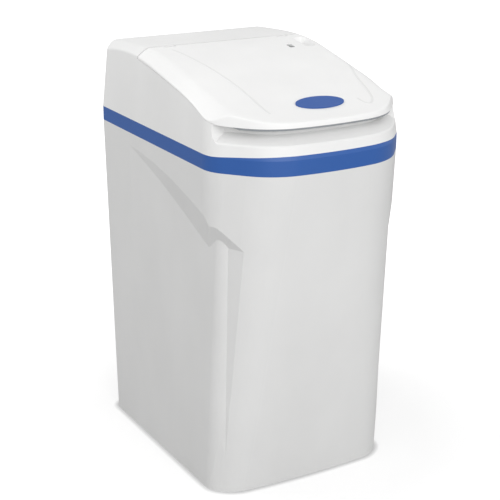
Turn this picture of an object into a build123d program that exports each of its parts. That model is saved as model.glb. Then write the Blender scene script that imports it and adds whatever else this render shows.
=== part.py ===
from build123d import *

import os
from math import atan2, cos, degrees, pi, radians, sin, sqrt, tan

os.makedirs("parts", exist_ok=True)

# A cabinet water softener: a moulded salt cabinet with a coloured trim band, a hood
# and a hinged lid, over a resin tank with a motor-driven valve on its neck.
# Origin: centre of the base on the floor. +Z is up, the front faces -Y. Sizes in mm.

# Cabinet
cabinet_width = 360
cabinet_depth = 508
cabinet_height = 569.5
cabinet_wall = 4
top_rear_round = 22
top_shoulder_round = 60
top_nose_round = 110
base_width = 343
base_rear_inset = 11
base_front_inset = 70
base_shoulder_round = 34
base_nose_round = 60
front_bow = 10.5
base_front_bow = 6
shoulder_setback = 88
base_shoulder_setback = 36
nose_width = 226
base_nose_width = 286
least_round = 2
seat_gap = 0.3
cut = 1

# Trim band, hood and lid
band_height = 25
band_front_rise = 6.5
shell_wall = 3.5
tongue_wall = 2.4
tongue_height = 9
tongue_inset = 5.6
hood_height = 125.5
top_width = 339
top_front_inset = 28.5
top_rear_inset = 7
top_nose_width = 208
top_shoulder_setback = 76
skirt_share = 0.179
recess_depth = 21
recess_rise = 13
recess_sweep = 28
recess_reach = 5
rim_round = 4
# Section of the recess's rim: rise above its floor and set-back, as shares of rim_round
rim_shares = ((-1.3, -0.3), (-0.5, 0.08), (0, 0.4), (0.35, 1))
crest_round = 4
recess_end_share = 0.402
lid_skin = 3
lid_lip = 2
strip_edge_shares = (-1, -0.61, -0.31, 0, 0.31, 0.61, 1)
lid_gap = 0.6
bevel_run = 20
bevel_round = 24
foot_share = 0.4
bevel_skin_share = 1.4
flat_skin_share = 0.4
# Stations along the cover, from rear to front: share of the half depth, then the heights
# of the top surface and of the side crease as shares of the hood's height
cover_station_shares = (
    (1.02, 0.925, 0.742),
    (0.59, 0.978, 0.88),
    (0.303, 0.971, 0.84),
    (-0.079, 0.826, 0.707),
    (-0.406, 0.673, 0.561),
    (-0.63, 0.566, 0.418),
    (-0.8, 0.494, 0.396),
    (-1.04, 0.418, 0.39),
)

# Hinge of the lid: two knuckles let into its rear edge
lid_rear_y = 104
hinge_gap = 3
hinge_y = 101.5
hinge_share = 0.944
hinge_pin_radius = 1.6
hinge_running_clearance = 0.05
hinge_half_span = 112
knuckle_radius = 3.1
lug_width = 12
ear_width = 5
knuckle_gap = 0.5
knuckle_reach = 8

# Button window and display slot in the lid, and badge
window_x = 132
window_y = 55
window_width = 16
window_length = 42
window_round = 5
window_lean = 22
window_frame_wall = 2.4
slot_x = 93.5
slot_y = 40
slot_width = 10
slot_length = 14
badge_x = 14
badge_y = -179
badge_half_width = 44
badge_half_length = 21
badge_thickness = 1.8

# Rear service window and overflow hole
service_width = 200
service_bottom = 505
service_height = 56
service_round = 12
socket_x = -122
socket_height = 470
socket_width = 28
socket_depth = 24
socket_opening = 20
socket_round = 3
socket_flange = 4
socket_wall = 2.5
socket_pin_radius = 2
socket_pin_spread = 6
overflow_x = 122
overflow_height = 470
overflow_radius = 11

# Control panel on the valve's right
panel_x = 118
panel_y = 66
panel_width = 68
panel_length = 92
panel_thickness = 3
panel_share = 0.849
panel_round = 6
housing_wall = 2.5
housing_height = 61
board_thickness = 1.6
board_drop = 8
button_radius = 3.6
button_travel = 1.2
button_clearance = 0.3
button_proud = 1.5
button_flange = 1
button_flange_thickness = 1
button_stem_radius = 1.8
button_pitch = 10.5
button_count = 4

# Resin tank
tank_radius = 103
tank_y = 122
tank_bottom = 14
tank_height = 446
tank_wall = 3.5
tank_dome_height = 58
tank_neck_radius = 38
tank_neck_height = 26
foot_radius = 92
foot_wall = 5
foot_height = 46
resin_height = 270
riser_radius = 13.5
riser_wall = 1.8
strainer_radius = 19
strainer_height = 55
strainer_lift = 1.4
strainer_slots = 8
strainer_slot_width = 2.4

# Valve
collar_radius = 49
collar_height = 24
barrel_radius = 27
barrel_bore = 17
barrel_height = 541
barrel_front = 52
barrel_rear = 216
port_spread = 42
port_radius = 17
port_bore = 10.5
port_rear = 262
drain_x = -82
bridge_width = 118
bridge_length = 44
bridge_height = 30
piston_radius = 12
piston_length = 96
piston_waist = 8
piston_travel = 30
rod_radius = 4
seal_count = 5
seal_clearance = 0.06
seal_width = 7
seal_pitch = 21

# Drive: pinion, two-step reduction gear and main gear
drive_plate_thickness = 4
drive_plate_width = 128
drive_plate_round = 10
gear_module = 1.5
gear_width = 7
gear_layer_gap = 2
main_teeth = 48
step_teeth = 12
reduction_teeth = 36
pinion_teeth = 12
tooth_share = 0.42
tooth_tip_share = 0.2
tooth_root_share = 0.62
addendum_share = 0.9
dedendum_share = 1.2
reduction_angle = 50
pinion_angle = -10
axle_radius = 3
axle_clearance = 0.05
hub_radius = 9
web_hole_count = 6
web_hole_radius = 6.5
web_hole_pitch_radius = 20
motor_radius = 18
motor_length = 36
motor_shaft_radius = 2

# Brine well, float and brine line
well_x = 110
well_y = -34
well_radius = 45
well_wall = 2.5
well_height = 505
well_slot_width = 8
well_slot_height = 60
cap_height = 12
cap_skirt = 2.5
cap_clearance = 0.4
stem_radius = 5
float_radius = 26
float_height = 62
float_start = 190
float_bore_clearance = 0.1
check_radius = 18
check_height = 52
line_radius = 4.8
line_wall = 1.3

# Salt platform
grid_height = 62
grid_thickness = 4
grid_margin = 7
grid_slot_length = 40
grid_slot_width = 7
grid_slot_pitch = 14
grid_leg_radius = 8
grid_leg_places = ((-120, -120), (120, -120), (-140, 0), (0, -60))

# Bypass and fittings at the rear
bypass_length = 56
bypass_tube_radius = 16
bypass_bore = 9.5
bypass_bridge_height = 20
handle_radius = 18
handle_height = 14
handle_grip = 8
rotor_radius = 8
rotor_clearance = 0.05
tail_radius = 13.2
tail_length = 18
tail_step = 1
nut_radius = 20
nut_length = 12
barb_radius = 6.5
barb_length = 20
barb_count = 3
barb_bore = 4
barb_taper = 8
bend_share = 0.45

base_align = (Align.CENTER, Align.CENTER, Align.MIN)
half_width = cabinet_width / 2
half_depth = cabinet_depth / 2
band_top = cabinet_height + band_height
top_height = band_top + hood_height
skirt_height = band_top + skirt_share * hood_height
recess_end_height = band_top + recess_end_share * hood_height
hinge_height = band_top + hinge_share * hood_height
panel_height = band_top + panel_share * hood_height
housing_floor = panel_height - housing_height
shoulder_y = -half_depth + shoulder_setback


def plan_outline(half, rear, shoulder, nose, front, bow, rounds, inset=0):
    """Draw one plan: straight sides and rear, cut front corners and a bowed front."""
    nose_y = front + bow
    rear_round, shoulder_round, nose_round = rounds
    with BuildSketch() as plan:
        with BuildLine():
            Polyline(
                (-nose, nose_y),
                (-half, shoulder),
                (-half, rear),
                (half, rear),
                (half, shoulder),
                (nose, nose_y),
            )
            ThreePointArc((nose, nose_y), (0, front), (-nose, nose_y))
        make_face()
        if inset:
            offset(amount=-inset, kind=Kind.INTERSECTION)
        fillet(plan.vertices().sort_by(Axis.Y)[-2:], max(rear_round - inset, least_round))
        fillet(plan.vertices().sort_by(Axis.Y)[2:4], max(shoulder_round - inset, least_round))
        fillet(plan.vertices().sort_by(Axis.Y)[:2], max(nose_round - inset, least_round))
    return plan.sketch


def base_plan(inset=0):
    return plan_outline(
        base_width / 2,
        half_depth - base_rear_inset,
        -half_depth + base_front_inset + base_shoulder_setback,
        base_nose_width / 2,
        -half_depth + base_front_inset,
        base_front_bow,
        (top_rear_round, base_shoulder_round, base_nose_round),
        inset,
    )


def rim_plan(inset=0):
    return plan_outline(
        half_width,
        half_depth,
        -half_depth + shoulder_setback,
        nose_width / 2,
        -half_depth,
        front_bow,
        (top_rear_round, top_shoulder_round, top_nose_round),
        inset,
    )


def hood_plan(height, inset=0):
    """Plan of the hood at one height: it leans in steadily above the trim band."""
    share = max(0, (height - band_top) / (top_height - band_top))
    front = -half_depth + share * top_front_inset
    setback = shoulder_setback + share * (top_shoulder_setback - shoulder_setback)
    return plan_outline(
        half_width - share * (cabinet_width - top_width) / 2,
        half_depth - share * top_rear_inset,
        front + setback,
        (nose_width - share * (nose_width - top_nose_width)) / 2,
        front,
        front_bow,
        (top_rear_round, top_shoulder_round, top_nose_round),
        inset,
    )


# Corner scoops: the corner column stands back from the shoulder and fades out downwards
column_toe = 3.4
column_centre = (142.8, -162.1)
column_radius = 20
column_turn = 64
base_column_centre = (127, -133)
base_column_radius = 45
base_column_turn = 53
return_wall_length = 110
return_wall_angle = 66
scoop_margin = 20
scoop_reach = 30
scoop_side_fall = 4.6
scoop_front_fall = 2.3
scoop_bottom = -400
# Shares of the cabinet's half depth and of its height along the scoop's upper edge
scoop_edge_shares = ((0.63, 0.963), (0.236, 0.953), (-0.138, 0.926), (-0.5, 0.885), (-0.75, 0.85))
scoop_front_start = 494
scoop_front_slope = 0.71
scoop_front_before = 25
scoop_front_after = 95


def column_outline(centre, radius, toe, turn, inset=0):
    """Draw the set-back plan: toed-in sides, corner columns and return walls."""
    rear_y = half_depth + scoop_margin
    start = (
        centre[0] + radius * cos(radians(toe)),
        centre[1] - radius * sin(radians(toe)),
    )
    rear_x = start[0] + (rear_y - start[1]) * tan(radians(toe))
    crease = (
        centre[0] + radius * cos(radians(turn)),
        centre[1] - radius * sin(radians(turn)),
    )
    far = (
        crease[0] - return_wall_length * cos(radians(return_wall_angle)),
        crease[1] - return_wall_length * sin(radians(return_wall_angle)),
    )
    with BuildSketch() as plan:
        with BuildLine():
            Line((0, rear_y), (rear_x, rear_y))
            Line((rear_x, rear_y), start)
            CenterArc(centre, radius, -toe, toe - turn)
            Line(crease, far)
            Line(far, (0, far[1]))
            mirror(about=Plane.YZ)
        make_face()
        if inset:
            offset(amount=-inset, kind=Kind.INTERSECTION)
    return plan.sketch


def column_form(inset=0):
    """Body inside the scoops, from floor to rim."""
    base = column_outline(base_column_centre, base_column_radius, 0, base_column_turn, inset)
    rim = column_outline(column_centre, column_radius, column_toe, column_turn, inset)
    with BuildPart() as form:
        with BuildSketch(Plane.XY):
            add(base)
        with BuildSketch(Plane.XY.offset(cabinet_height)):
            add(rim)
        loft(ruled=True)
    return form.part


def scoop_form(inset=0):
    """Both corner scoops: what is cut from the plain body to reach the set-back body."""
    shoulder = Vector(half_width, -half_depth + shoulder_setback)
    nose = Vector(nose_width / 2, -half_depth + front_bow)
    along = (nose - shoulder).normalized()
    outward = Vector(-along.Y, along.X)
    side_plane = Plane(
        origin=(half_width - inset + scoop_reach, 0, scoop_side_fall * scoop_reach),
        x_dir=(0, 1, 0),
        z_dir=(1, 0, 0),
    )
    corner = shoulder + outward * (scoop_reach - inset)
    front_plane = Plane(
        origin=(corner.X, corner.Y, scoop_front_fall * scoop_reach),
        x_dir=(-along.X, -along.Y, 0),
        z_dir=(outward.X, outward.Y, 0),
    )
    side_sweep = Vector(-1, 0, -scoop_side_fall) * (2 * scoop_reach)
    front_sweep = Vector(-outward.X, -outward.Y, -scoop_front_fall) * (2 * scoop_reach)
    edge = [(depth * half_depth, height * cabinet_height) for depth, height in scoop_edge_shares]
    column = column_form(inset)
    with BuildPart() as form:
        with BuildSketch(side_plane):
            with BuildLine():
                Spline(*edge)
                Polyline(edge[-1], (edge[-1][0], scoop_bottom), (edge[0][0], scoop_bottom), edge[0])
            make_face()
        extrude(amount=side_sweep.length, dir=side_sweep)
        with BuildSketch(front_plane):
            with BuildLine():
                Polyline(
                    (scoop_front_before, scoop_front_start + scoop_front_slope * scoop_front_before),
                    (-scoop_front_after, scoop_front_start - scoop_front_slope * scoop_front_after),
                    (-scoop_front_after, scoop_bottom),
                    (scoop_front_before, scoop_bottom),
                    close=True,
                )
            make_face()
        extrude(amount=front_sweep.length, dir=front_sweep)
        mirror(about=Plane.YZ)
        add(column, mode=Mode.SUBTRACT)
    return form.part


def cabinet_form(inset=0):
    """The cabinet's body as one solid, drawn in by inset."""
    base = base_plan(inset)
    rim = rim_plan(inset)
    scoops = scoop_form(inset)
    with BuildPart() as form:
        with BuildSketch(Plane.XY):
            add(base)
        with BuildSketch(Plane.XY.offset(cabinet_height)):
            add(rim)
        loft(ruled=True)
        add(scoops, mode=Mode.SUBTRACT)
    return form.part


def save(piece, node):
    """Name one finished piece and write it as a file of its own."""
    piece.part.label = node
    export_step(piece.part, f"parts/{node}.step")


def stacked(*levels):
    """Ruled solid through plans given as (height, plan) pairs."""
    with BuildPart() as form:
        for height, plan in levels:
            with BuildSketch(Plane.XY.offset(height)):
                add(plan)
        loft(ruled=True)
    return form.part


def hood_form(inset=0):
    """Band and hood as one solid, from the cabinet's rim to the top."""
    return stacked(
        (cabinet_height, hood_plan(cabinet_height, inset)),
        (band_top, hood_plan(band_top, inset)),
        (top_height, hood_plan(top_height, inset)),
    )


def across(points, curve=None):
    """Solid right across the cabinet, from a side profile of (y, z) points."""
    with BuildPart() as form:
        with BuildSketch(Plane.YZ):
            with BuildLine():
                if curve:
                    Spline(*curve)
                Polyline(*points, close=not curve)
            make_face()
        extrude(amount=cabinet_width, both=True)
    return form.part


front_margin = -half_depth - scoop_margin
rear_margin = half_depth + scoop_margin
cover_stations = [
    (depth * half_depth, band_top + top * hood_height, band_top + crease * hood_height)
    for depth, top, crease in cover_station_shares
]


def above_seam():
    """Everything above the joint between band and hood, which climbs at the front."""
    front_top = band_top + band_front_rise
    return across(
        [
            (rear_margin, band_top),
            (shoulder_y, band_top),
            (-half_depth + front_bow, front_top),
            (front_margin, front_top),
            (front_margin, 2 * top_height),
            (rear_margin, 2 * top_height),
        ]
    )


def above_crease(drop, rear_y):
    """Everything above the lid's lower edge, lowered by drop, and in front of rear_y."""
    edge = [(y, crease - drop) for y, top, crease in cover_stations]
    region = across(
        [edge[-1], (edge[-1][0], 2 * top_height), (edge[0][0], 2 * top_height), edge[0]],
        edge,
    )
    with BuildPart() as form:
        add(region)
        split(bisect_by=Plane.XZ.offset(-rear_y), keep=Keep.TOP)
    return form.part


def cover_form(skin=0):
    """Solid under the top surface and its side bevels, lowered by skin."""
    flat_half = top_width / 2 - bevel_run + lid_skin - flat_skin_share * skin
    foot_half = half_width + lid_lip - bevel_skin_share * skin
    with BuildPart() as form:
        for side in (-foot_half, -flat_half, flat_half, foot_half):
            if abs(side) == flat_half:
                edge = [(y, top - skin) for y, top, crease in cover_stations]
            else:
                edge = [(y, crease - foot_share * (top - crease)) for y, top, crease in cover_stations]
            with BuildSketch(Plane.YZ.offset(side)):
                with BuildLine():
                    Spline(*edge)
                    Polyline(
                        edge[-1],
                        (edge[-1][0], cabinet_height),
                        (edge[0][0], cabinet_height),
                        edge[0],
                    )
                make_face()
        loft(ruled=True)
        if not skin:
            crests = form.edges().filter_by(lambda e: abs(abs((e @ 0.5).X) - flat_half) < cut)
            fillet(crests.sort_by(Axis.Z)[-2:], bevel_round)
    return form.part


def top_form(inset=0, skin=0):
    """Hood form under the cover surface."""
    walls = hood_form(inset)
    cover = cover_form(skin)
    with BuildPart() as form:
        add(walls)
        add(cover, mode=Mode.INTERSECT)
    return form.part


def recess_form(wall=0):
    """Finger recess under the lid's lip: what is cut from the hood's front."""
    floor = skirt_height - wall
    region_floor = floor - 2 * rim_round
    recess_end_y = shoulder_y + recess_reach + wall
    sweep_start = recess_end_y - recess_sweep
    with BuildPart() as region:
        with BuildSketch(Plane.YZ):
            with BuildLine():
                Line((front_margin, region_floor), (sweep_start, region_floor))
                TangentArc((sweep_start, region_floor), (recess_end_y, recess_end_height), tangent=(1, 0))
                Polyline(
                    (recess_end_y, recess_end_height),
                    (recess_end_y, top_height),
                    (front_margin, top_height),
                    (front_margin, region_floor),
                )
            make_face()
        extrude(amount=cabinet_width, both=True)
    section = [(floor + rise * rim_round, wall + setback * rim_round) for rise, setback in rim_shares]
    section.append((floor + recess_rise, wall + recess_depth))
    levels = [(height, hood_plan(height, setback)) for height, setback in section]
    ledge = stacked((cabinet_height, levels[0][1]), *levels, (top_height, levels[-1][1]))
    with BuildPart() as form:
        add(region.part)
        add(ledge, mode=Mode.SUBTRACT)
    return form.part


outer_body = cabinet_form()
inner_body = cabinet_form(cabinet_wall)

with BuildPart() as cabinet_space:
    add(inner_body)
    split(bisect_by=Plane.XY.offset(cabinet_wall), keep=Keep.TOP)

with BuildPart() as cabinet:
    add(outer_body)
    add(cabinet_space.part, mode=Mode.SUBTRACT)
    with BuildSketch(Plane.XZ.offset(-half_depth)):
        with Locations((0, service_bottom + service_height / 2)):
            RectangleRounded(service_width, service_height, service_round)
        with Locations((overflow_x, overflow_height)):
            Circle(overflow_radius)
        with Locations((socket_x, socket_height)):
            RectangleRounded(
                socket_width + 2 * seat_gap, socket_opening + 2 * seat_gap, socket_round + seat_gap
            )
    extrude(amount=2 * base_rear_inset, both=True, mode=Mode.SUBTRACT)
save(cabinet, "cabinet")

seam = above_seam()
tongue_outer = rim_plan(tongue_inset)
tongue_inner = rim_plan(tongue_inset + tongue_wall)
rim_outer = rim_plan()
band_outer = hood_form()
band_inner = hood_form(shell_wall)

with BuildPart() as trim_band:
    add(band_outer)
    add(band_inner, mode=Mode.SUBTRACT)
    add(seam, mode=Mode.SUBTRACT)
    with BuildSketch(Plane.XY.offset(cabinet_height)):
        add(rim_outer)
        add(tongue_inner, mode=Mode.SUBTRACT)
    extrude(amount=tongue_wall)
    with BuildSketch(Plane.XY.offset(cabinet_height)):
        add(tongue_outer)
        add(tongue_inner, mode=Mode.SUBTRACT)
    extrude(amount=-tongue_height)
save(trim_band, "trim_band")

deck_front_y = lid_rear_y + hinge_gap
plain_outer = top_form()
hood_inner = top_form(shell_wall, lid_skin)
recess_outer = recess_form()
recess_inner = recess_form(shell_wall)
lid_space = above_crease(lid_lip + lid_gap, deck_front_y)


def on_perimeter(edge):
    """Whether an edge of the top form runs along its perimeter, where the walls end."""
    start, end = edge @ 0, edge @ 1
    lengthwise = abs(start.X - end.X) < cut and edge.length > half_depth
    upright = abs(start.Z - end.Z) > top_height - skirt_height - rim_round
    return (edge @ 0.5).Z > skirt_height and not lengthwise and not upright


with BuildPart() as rounded_top:
    add(plain_outer)
    fillet(rounded_top.edges().filter_by(on_perimeter), crest_round)
hood_outer = rounded_top.part

with BuildPart() as hood_cavity:
    add(hood_inner)
    add(recess_inner, mode=Mode.SUBTRACT)

knuckle_half = lug_width / 2 + knuckle_gap + ear_width


def knuckle(centre_x, width, reach):
    """One hinge knuckle round the lid's axis, reaching back or forward to what carries it."""
    with BuildPart() as form:
        with BuildSketch(Plane.YZ.offset(centre_x)):
            with Locations((hinge_y, hinge_height)):
                Circle(knuckle_radius)
            with Locations((hinge_y + reach / 2, hinge_height)):
                Rectangle(abs(reach), 2 * knuckle_radius)
        extrude(amount=width / 2, both=True)
    return form.part


with BuildPart() as hinge_ears:
    for side in (-hinge_half_span, hinge_half_span):
        for end in (-1, 1):
            ear_x = side + end * (knuckle_half - ear_width / 2)
            add(knuckle(ear_x, ear_width, lid_rear_y + hinge_gap + knuckle_reach - hinge_y))

with BuildPart() as hinge_lugs:
    for side in (-hinge_half_span, hinge_half_span):
        add(knuckle(side, lug_width, -knuckle_reach))

with BuildPart() as hinge_pins:
    for side in (-hinge_half_span, hinge_half_span):
        with BuildSketch(Plane.YZ.offset(side)):
            with Locations((hinge_y, hinge_height)):
                Circle(hinge_pin_radius)
        extrude(amount=knuckle_half, both=True)
save(hinge_pins, "lid_hinge_pins")

with BuildPart() as hood:
    add(hood_outer)
    add(seam, mode=Mode.INTERSECT)
    add(recess_outer, mode=Mode.SUBTRACT)
    add(hood_cavity.part, mode=Mode.SUBTRACT)
    add(lid_space, mode=Mode.SUBTRACT)
    add(hinge_ears.part)
    add(hinge_pins.part, mode=Mode.SUBTRACT)
save(hood, "hood")

lid_region = above_crease(lid_lip, lid_rear_y)
lid_cavity = top_form(lid_skin, lid_skin)

half_skin_cover = cover_form(lid_skin / 2)


def window_funnel(margin=0):
    """Funnel over the buttons, wider at the lid's surface, grown by margin."""
    with BuildPart() as form:
        with BuildSketch(Plane.XY.offset(panel_height + button_proud + lid_gap)):
            with Locations((window_x, window_y)):
                RectangleRounded(
                    window_width + 2 * margin, window_length + 2 * margin, window_round + margin
                )
        extrude(amount=top_height - panel_height, taper=-window_lean)
    return form.part


with BuildPart() as window_frame:
    add(window_funnel(window_frame_wall))
    add(window_funnel(), mode=Mode.SUBTRACT)
    add(half_skin_cover, mode=Mode.INTERSECT)

with BuildPart() as lid:
    add(hood_outer)
    add(lid_region, mode=Mode.INTERSECT)
    add(lid_cavity, mode=Mode.SUBTRACT)
    add(window_funnel(), mode=Mode.SUBTRACT)
    with BuildSketch(Plane.XY.offset(skirt_height)):
        with Locations((-hinge_half_span, hinge_y), (hinge_half_span, hinge_y)):
            Rectangle(2 * (knuckle_half + knuckle_gap), 2 * (knuckle_radius + knuckle_gap))
    extrude(amount=top_height, mode=Mode.SUBTRACT)
    add(window_frame.part)
    add(hinge_lugs.part)
    for side in (-hinge_half_span, hinge_half_span):
        with BuildSketch(Plane.YZ.offset(side)):
            with Locations((hinge_y, hinge_height)):
                Circle(hinge_pin_radius + hinge_running_clearance)
        extrude(amount=lug_width, both=True, mode=Mode.SUBTRACT)


def lid_strip(left, right):
    """Part of the lid between two places across its width."""
    with BuildPart() as strip:
        add(lid.part)
        split(bisect_by=Plane.YZ.offset(left), keep=Keep.TOP)
        split(bisect_by=Plane.YZ.offset(right), keep=Keep.BOTTOM)
    return strip.part


# The lid is joined again from strips, so that its wide curved faces are divided along their run
strip_edges = [share * half_width for share in strip_edge_shares]
with BuildPart() as banded_lid:
    for left, right in zip(strip_edges, strip_edges[1:]):
        add(lid_strip(left, right), clean=False)
save(banded_lid, "lid")

cover_raised = cover_form(-badge_thickness)
cover_seat = cover_form(-seat_gap)
with BuildPart() as badge:
    with BuildSketch(Plane.XY.offset(skirt_height)):
        with Locations((badge_x, badge_y)):
            Ellipse(badge_half_width, badge_half_length)
    extrude(amount=top_height)
    add(cover_raised, mode=Mode.INTERSECT)
    add(cover_seat, mode=Mode.SUBTRACT)
save(badge, "badge")

# Control panel under the lid: its buttons are pressed through the lid's window

panel_bottom = panel_height - panel_thickness
board_top = panel_bottom - board_drop
button_places = [
    (window_x, window_y + (number - (button_count - 1) / 2) * button_pitch)
    for number in range(button_count)
]


def panel_block(inset, bottom, top):
    """Block with the control panel's rounded plan, drawn in by inset."""
    with BuildPart() as form:
        with BuildSketch(Plane.XY.offset(bottom)):
            with Locations((panel_x, panel_y)):
                RectangleRounded(panel_width - 2 * inset, panel_length - 2 * inset, panel_round - inset)
        extrude(amount=top - bottom)
    return form.part


def display_block(bottom, top):
    """Block under the lid's display slot."""
    with BuildPart() as form:
        with BuildSketch(Plane.XY.offset(bottom)):
            with Locations((slot_x, slot_y)):
                Rectangle(slot_width, slot_length)
        extrude(amount=top - bottom)
    return form.part


with BuildPart() as control_housing:
    add(panel_block(0, housing_floor, panel_bottom))
    add(panel_block(housing_wall, housing_floor + housing_wall, panel_height), mode=Mode.SUBTRACT)
save(control_housing, "control_housing")

with BuildPart() as control_panel:
    add(panel_block(0, panel_bottom, panel_height))
    add(display_block(panel_bottom, panel_height), mode=Mode.SUBTRACT)
    with BuildSketch(Plane.XY.offset(panel_bottom)):
        with Locations(*button_places):
            Circle(button_radius + button_clearance)
    extrude(amount=panel_thickness, mode=Mode.SUBTRACT)
save(control_panel, "control_panel")

with BuildPart() as control_board:
    add(panel_block(housing_wall + button_clearance, board_top - board_thickness, board_top))
    add(display_block(board_top, panel_bottom))
save(control_board, "control_board")

with BuildPart() as display_lens:
    with BuildSketch(Plane.XY.offset(panel_bottom + seat_gap)):
        with Locations((slot_x, slot_y)):
            Rectangle(slot_width - 2 * seat_gap, slot_length - 2 * seat_gap)
    extrude(amount=panel_thickness - seat_gap)
save(display_lens, "display_lens")

for number, place in enumerate(button_places, start=1):
    with BuildPart() as button:
        with BuildSketch(Plane.XY.offset(panel_bottom - button_flange_thickness)):
            with Locations(place):
                Circle(button_radius + button_clearance + button_flange)
        extrude(amount=button_flange_thickness - button_clearance)
        with BuildSketch(Plane.XY.offset(panel_bottom - button_clearance)):
            with Locations(place):
                Circle(button_radius)
        extrude(amount=panel_thickness + button_clearance + button_proud)
        fillet(button.faces().sort_by(Axis.Z)[-1].edges(), button_flange_thickness)
        with BuildSketch(Plane.XY.offset(board_top + button_travel + button_clearance)):
            with Locations(place):
                Circle(button_stem_radius)
        extrude(amount=panel_bottom - board_top - button_travel - 2 * button_clearance)
    save(button, f"button_{number}")

# Resin tank with its foot, riser tube, strainers and resin bed


tank_top = tank_bottom + tank_height
neck_top = tank_top + tank_neck_height
tank_axis = Axis((0, tank_y, 0), (0, 0, 1))


def tank_form(inset=0):
    """The tank's vessel as one solid, drawn in by inset and open at the neck."""
    radius = tank_radius - inset
    neck = tank_neck_radius - inset
    low = tank_bottom + inset
    high = tank_top - inset
    belly = low + tank_dome_height
    shoulder = high - tank_dome_height
    mouth = neck_top + (cut if inset else 0)
    neck_angle = degrees(atan2(sqrt(1 - (neck / radius) ** 2), neck / radius))
    with BuildPart() as form:
        with BuildSketch(Plane.XZ.offset(-tank_y)):
            with BuildLine():
                EllipticalCenterArc((0, belly), radius, tank_dome_height, start_angle=-90, arc_size=90)
                Line((radius, belly), (radius, shoulder))
                dome = EllipticalCenterArc(
                    (0, shoulder), radius, tank_dome_height, start_angle=0, arc_size=neck_angle
                )
                Polyline(dome @ 1, (neck, mouth), (0, mouth), (0, low))
            make_face()
        revolve(axis=tank_axis)
    return form.part


def rod(place, radius, low, high, bore=0):
    """Upright round bar or tube at a plan position."""
    with BuildPart() as form:
        with BuildSketch(Plane.XY.offset(low)):
            with Locations(place):
                Circle(radius)
                if bore:
                    Circle(bore, mode=Mode.SUBTRACT)
        extrude(amount=high - low)
    return form.part


def spindle(place, radius, front, rear, bore=0):
    """Round bar or tube lying front to rear, at an (x, z) position."""
    with BuildPart() as form:
        with BuildSketch(Plane.XZ.offset(-front)):
            with Locations(place):
                Circle(radius)
                if bore:
                    Circle(bore, mode=Mode.SUBTRACT)
        extrude(amount=front - rear)
    return form.part


tank_place = (0, tank_y)
tank_body = tank_form()
tank_space = tank_form(tank_wall)

with BuildPart() as resin_tank:
    add(tank_body)
    add(tank_space, mode=Mode.SUBTRACT)
save(resin_tank, "resin_tank")

with BuildPart() as tank_foot:
    add(rod(tank_place, foot_radius, cabinet_wall, cabinet_wall + foot_height, foot_radius - 2 * foot_wall))
    add(tank_body, mode=Mode.SUBTRACT)
save(tank_foot, "tank_foot")

strainer_bottom = tank_bottom + tank_wall + strainer_lift
strainer_top = strainer_bottom + strainer_height
riser_top = neck_top + collar_height / 2

with BuildPart() as lower_strainer:
    add(rod(tank_place, strainer_radius, strainer_bottom, strainer_top))
    with Locations((0, tank_y, strainer_bottom + tank_wall)):
        with PolarLocations(strainer_radius, strainer_slots):
            Box(
                riser_wall * 2,
                strainer_slot_width,
                strainer_height - tank_wall * 2,
                align=base_align,
                mode=Mode.SUBTRACT,
            )
save(lower_strainer, "lower_strainer")

with BuildPart() as upper_strainer:
    add(
        rod(
            tank_place,
            tank_neck_radius - tank_wall - seat_gap,
            tank_top,
            tank_top + foot_wall,
            riser_radius + seat_gap,
        )
    )
    with Locations((0, tank_y, tank_top)):
        with PolarLocations((tank_neck_radius + riser_radius) / 2, strainer_slots):
            Box(
                riser_radius,
                strainer_slot_width,
                tank_neck_height,
                align=base_align,
                mode=Mode.SUBTRACT,
            )
save(upper_strainer, "upper_strainer")

with BuildPart() as riser_tube:
    add(rod(tank_place, riser_radius, strainer_top, riser_top, riser_radius - riser_wall))
save(riser_tube, "riser_tube")

with BuildPart() as resin_bed:
    add(tank_space)
    split(bisect_by=Plane.XY.offset(tank_bottom + resin_height), keep=Keep.BOTTOM)
    add(rod(tank_place, strainer_radius + seat_gap, cut, strainer_top), mode=Mode.SUBTRACT)
    add(rod(tank_place, riser_radius, cut, tank_top), mode=Mode.SUBTRACT)
save(resin_bed, "resin_bed")

# Valve: collar on the tank's neck, cross barrel for the piston, ports to the rear
barrel_low = barrel_height - barrel_radius
barrel_length = barrel_rear - barrel_front

with BuildPart() as valve_body:
    with BuildSketch(Plane.XY.offset(neck_top)):
        with Locations((0, tank_y)):
            Circle(collar_radius)
    extrude(amount=collar_height)
    fillet(valve_body.faces().sort_by(Axis.Z)[-1].edges(), tank_wall)
    with BuildSketch(Plane.XY.offset(neck_top)):
        with Locations((0, tank_y)):
            Circle(barrel_radius)
    extrude(amount=barrel_height - neck_top)
    with BuildSketch(Plane.XZ.offset(-barrel_front)):
        with Locations((0, barrel_height)):
            Circle(barrel_radius)
    extrude(amount=-barrel_length)
    with BuildSketch(Plane.XY.offset(barrel_height - bridge_height / 2)):
        with Locations((0, tank_y + bridge_length / 2)):
            RectangleRounded(bridge_width, bridge_length, drive_plate_round)
    extrude(amount=bridge_height)
    with BuildSketch(Plane.XZ.offset(-tank_y)):
        with Locations((-port_spread, barrel_height), (port_spread, barrel_height)):
            Circle(port_radius)
    extrude(amount=-(port_rear - tank_y))
    with BuildSketch(Plane.XZ.offset(-(tank_y + bridge_length / 2))):
        with Locations((-port_spread, barrel_height), (port_spread, barrel_height)):
            Circle(port_bore)
    extrude(amount=-port_rear, mode=Mode.SUBTRACT)
    with BuildSketch(Plane.XZ.offset(-barrel_front)):
        with Locations((0, barrel_height)):
            Circle(barrel_bore)
    extrude(amount=-(barrel_length - drive_plate_thickness), mode=Mode.SUBTRACT)
    with BuildSketch(Plane.XY.offset(neck_top)):
        with Locations((0, tank_y)):
            Circle(riser_radius)
    extrude(amount=riser_top - neck_top, mode=Mode.SUBTRACT)
save(valve_body, "valve_body")

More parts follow.
